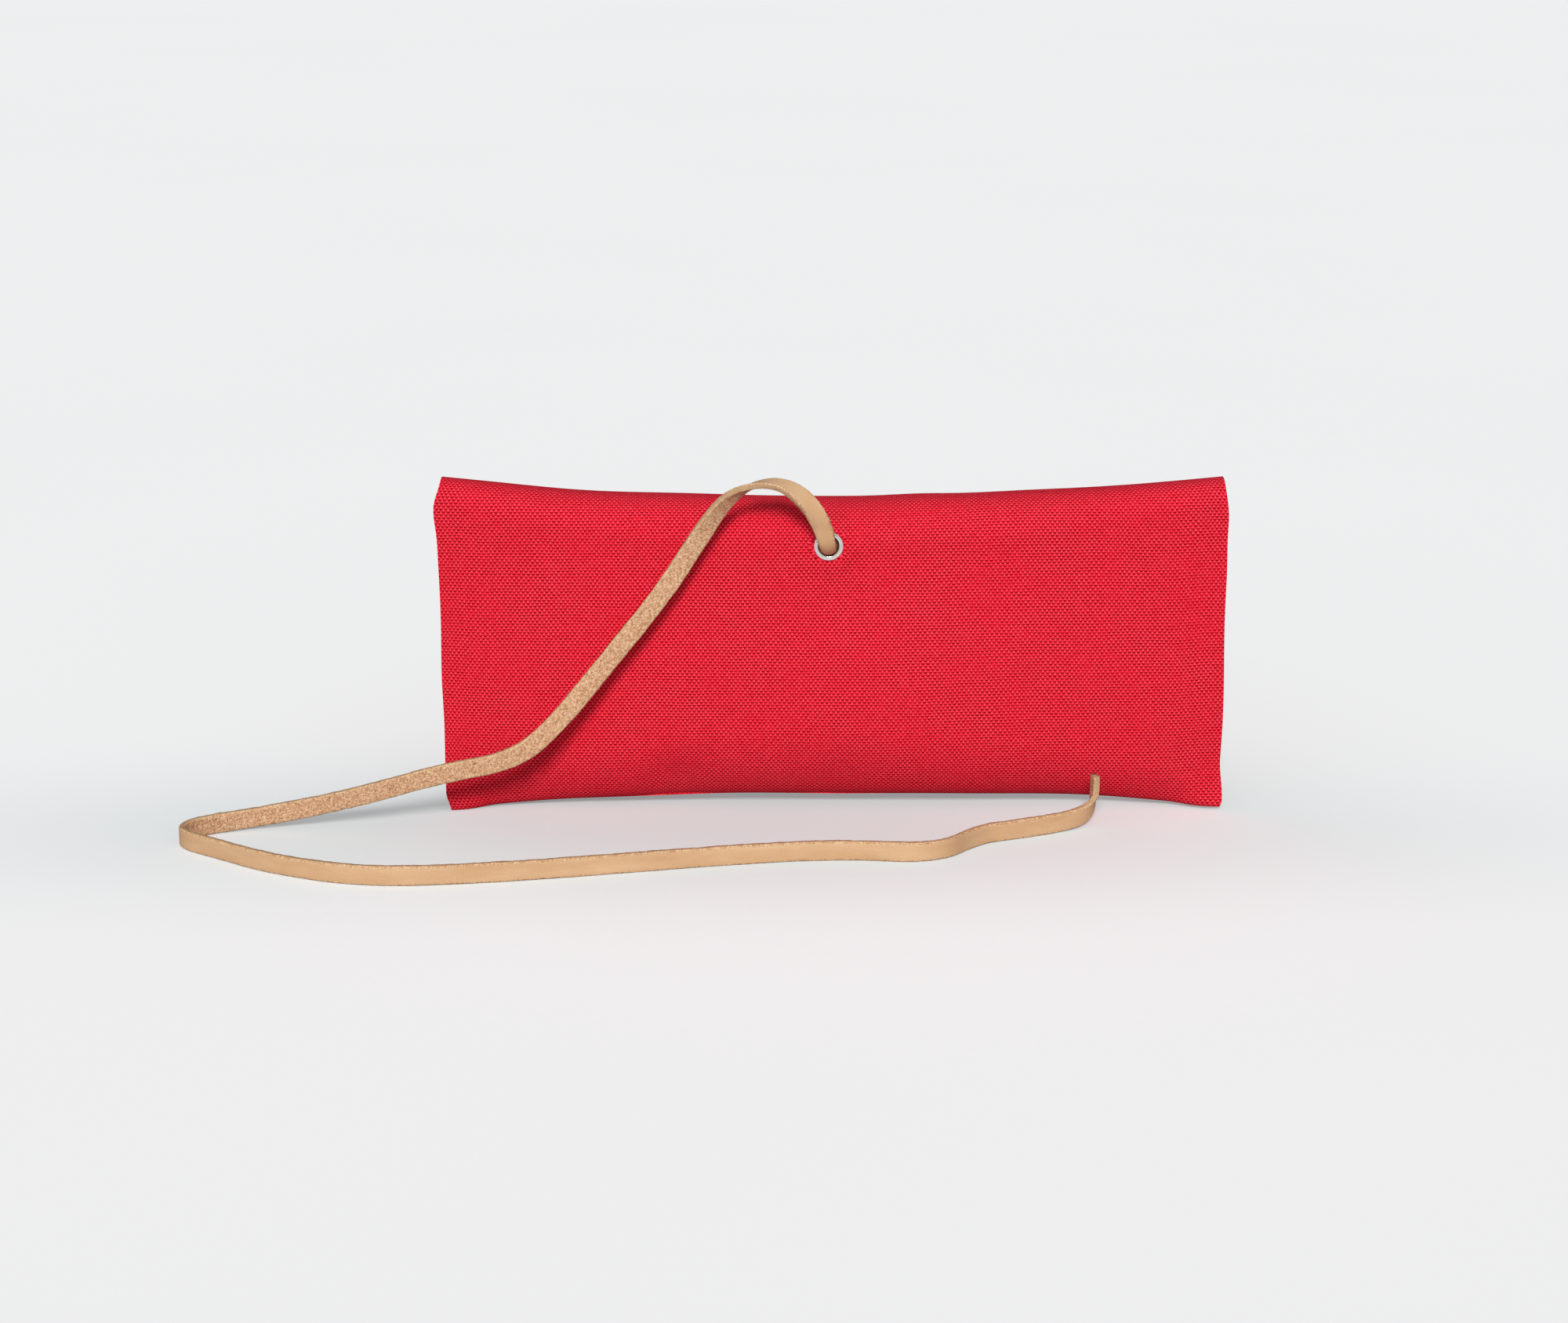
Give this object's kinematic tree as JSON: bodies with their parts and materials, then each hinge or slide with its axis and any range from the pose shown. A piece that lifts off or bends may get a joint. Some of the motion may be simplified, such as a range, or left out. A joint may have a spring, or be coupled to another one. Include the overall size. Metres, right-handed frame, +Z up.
{
  "type": "fold-over canvas pouch",
  "caption": "Slim canvas pouch with a fold-over flap, a metal eyelet near its top fold and a flat leather lace that ties it shut.",
  "frame": {"origin": "centre of the pouch's box without the lace, on the surface that the pouch stands on", "axes": "+X along the pouch's long side, +Y towards the side that the flap covers, +Z up; the panel with the eyelet faces -Y"},
  "size_m": [0.2642, 0.083, 0.0908],
  "materials": {
    "canvas": "coarse plain weave, matt",
    "lining": "fine unbleached cotton",
    "thread": "twisted polyester thread",
    "eyelet": "polished nickel plate",
    "lace": "smooth grain on one side, raw flesh on the other"
  },
  "bodies": {
    "pouch": {"pouch_canvas": "canvas", "pouch_lining": "lining", "left_seam_allowance": "canvas", "right_seam_allowance": "canvas", "left_seam_thread": "thread", "right_seam_thread": "thread", "mouth_thread": "thread", "eyelet": "eyelet", "eyelet_washer": "eyelet", "lace_knot": "lace", "tie_lace": "lace"},
    "flap": {"flap_canvas": "canvas", "flap_lining": "lining", "flap_thread": "thread"}
  },
  "joints": [
    {"name": "flap_fold", "type": "hinge", "parent": "pouch", "child": "flap", "pos_m": [0, -0.00903, 0.0765], "axis": [1, 0, 0], "range_deg": [0, 100]}
  ]
}
